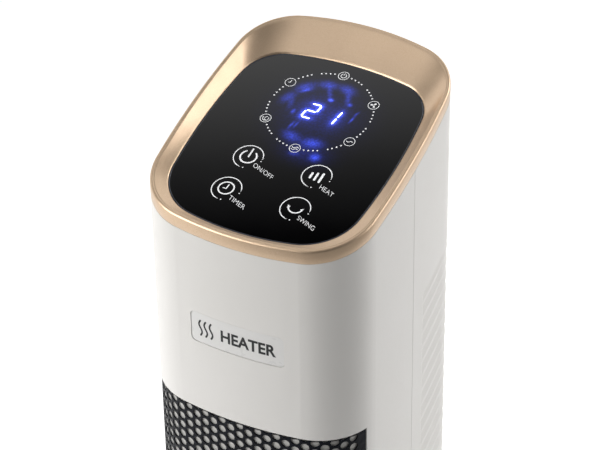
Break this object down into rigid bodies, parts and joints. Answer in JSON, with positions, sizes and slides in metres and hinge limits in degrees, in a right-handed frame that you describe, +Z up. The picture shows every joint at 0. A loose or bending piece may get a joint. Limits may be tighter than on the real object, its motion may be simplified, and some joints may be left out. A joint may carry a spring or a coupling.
{
  "type": "ceramic tower heater",
  "caption": "White ceramic tower heater with a sloping champagne-rimmed touch panel, a dark perforated outlet grille, a ribbed rear intake and a round swing base.",
  "frame": {"origin": "centre of the underside of the round base, on the swing axis", "axes": "+Z up, front grille faces -Y, +X to the right of someone facing the front"},
  "size_m": [0.26, 0.26, 0.64],
  "materials": {
    "white_shell": "satin moulded white",
    "champagne_trim": "satin metallic",
    "panel_glass": "black glass, printed",
    "black_plastic": "fine grain",
    "circuit_board": "lacquered board",
    "display_lens": "smoked lens",
    "lamp": "clear lamp",
    "sponge": "conductive foam",
    "badge": "satin",
    "grille_metal": "perforated sheet, dark enamel",
    "guard_metal": "bare sheet",
    "heater_ceramic": "ceramic",
    "heat_plastic": "heat-resistant moulding",
    "fins": "bare fins",
    "brass": "plated",
    "steel": "zinc plated",
    "sheet_steel": "galvanised",
    "blower_plastic": "glass-filled moulding",
    "iron": "painted",
    "filter_foam": "open-cell foam",
    "component": "moulded cases",
    "rubber": "matt rubber",
    "gear_plastic": "natural acetal",
    "switch_red": "gloss black"
  },
  "bodies": {
    "base": {"base_cover": "white_shell", "base_plate": "black_plastic", "ballast_ring": "iron", "foot_pads": "rubber", "base_screws": "steel", "cord_gland": "rubber", "thrust_washer": "gear_plastic", "swing_motor": "sheet_steel", "tip_switch": "black_plastic"},
    "tower": {"front_shell": "white_shell", "rear_shell": "white_shell", "top_trim_ring": "champagne_trim", "touch_glass": "panel_glass", "panel_tray": "black_plastic", "display_board": "circuit_board", "digit_display": "display_lens", "indicator_leds": "lamp", "touch_pads": "sponge", "badge_plate": "badge", "front_grille": "grille_metal", "outlet_guard": "guard_metal", "heater_frame": "heat_plastic", "ceramic_bars": "heater_ceramic", "heater_terminals": "brass", "heater_fins": "fins", "thermal_cutout": "sheet_steel", "thermal_fuse": "heater_ceramic", "scroll_housing": "sheet_steel", "scroll_tongue": "sheet_steel", "blower_plate_bottom": "sheet_steel", "blower_plate_top": "sheet_steel", "top_bush": "brass", "motor_stator": "iron", "motor_bracket": "sheet_steel", "intake_screen": "filter_foam", "power_board": "circuit_board", "board_bracket": "black_plastic", "board_components": "component", "grip_cup": "white_shell", "switch_housing": "black_plastic", "tower_floor": "black_plastic", "floor_screws": "steel", "swing_hub": "gear_plastic", "swing_gear": "gear_plastic", "hub_retainer": "steel"},
    "blower": {"blower_wheel": "blower_plastic", "blower_shaft": "steel", "motor_rotor": "iron"},
    "pinion": {"swing_pinion": "gear_plastic", "pinion_shaft": "steel"},
    "plunger": {"tip_plunger": "gear_plastic", "tip_spring": "steel"},
    "rocker": {"main_rocker": "switch_red"}
  },
  "joints": [
    {"name": "swing", "type": "hinge", "parent": "base", "child": "tower", "pos_m": [0, 0, 0], "axis": [0, 0, 1], "range_deg": [-35, 35]},
    {"name": "blower_spin", "type": "hinge", "parent": "tower", "child": "blower", "pos_m": [0, 0.018, 0], "axis": [0, 0, 1], "continuous": true},
    {"name": "pinion_spin", "type": "hinge", "parent": "base", "child": "pinion", "pos_m": [-0.06035, 0, 0], "axis": [0, 0, 1], "range_deg": [-140, 140]},
    {"name": "tip_slide", "type": "slide", "parent": "base", "child": "plunger", "axis": [0, 0, 1], "range_m": [-0.005, 0], "stiffness_N_per_m": 200, "springref_m": -0.007, "deforming": ["tip_spring"]},
    {"name": "rocker_tilt", "type": "hinge", "parent": "tower", "child": "rocker", "pos_m": [0, 0.101, 0.07], "axis": [1, 0, 0], "range_deg": [-22, 0]}
  ],
  "couplings": [
    {"joint": "pinion_spin", "follows": "swing", "ratio": -4}
  ]
}
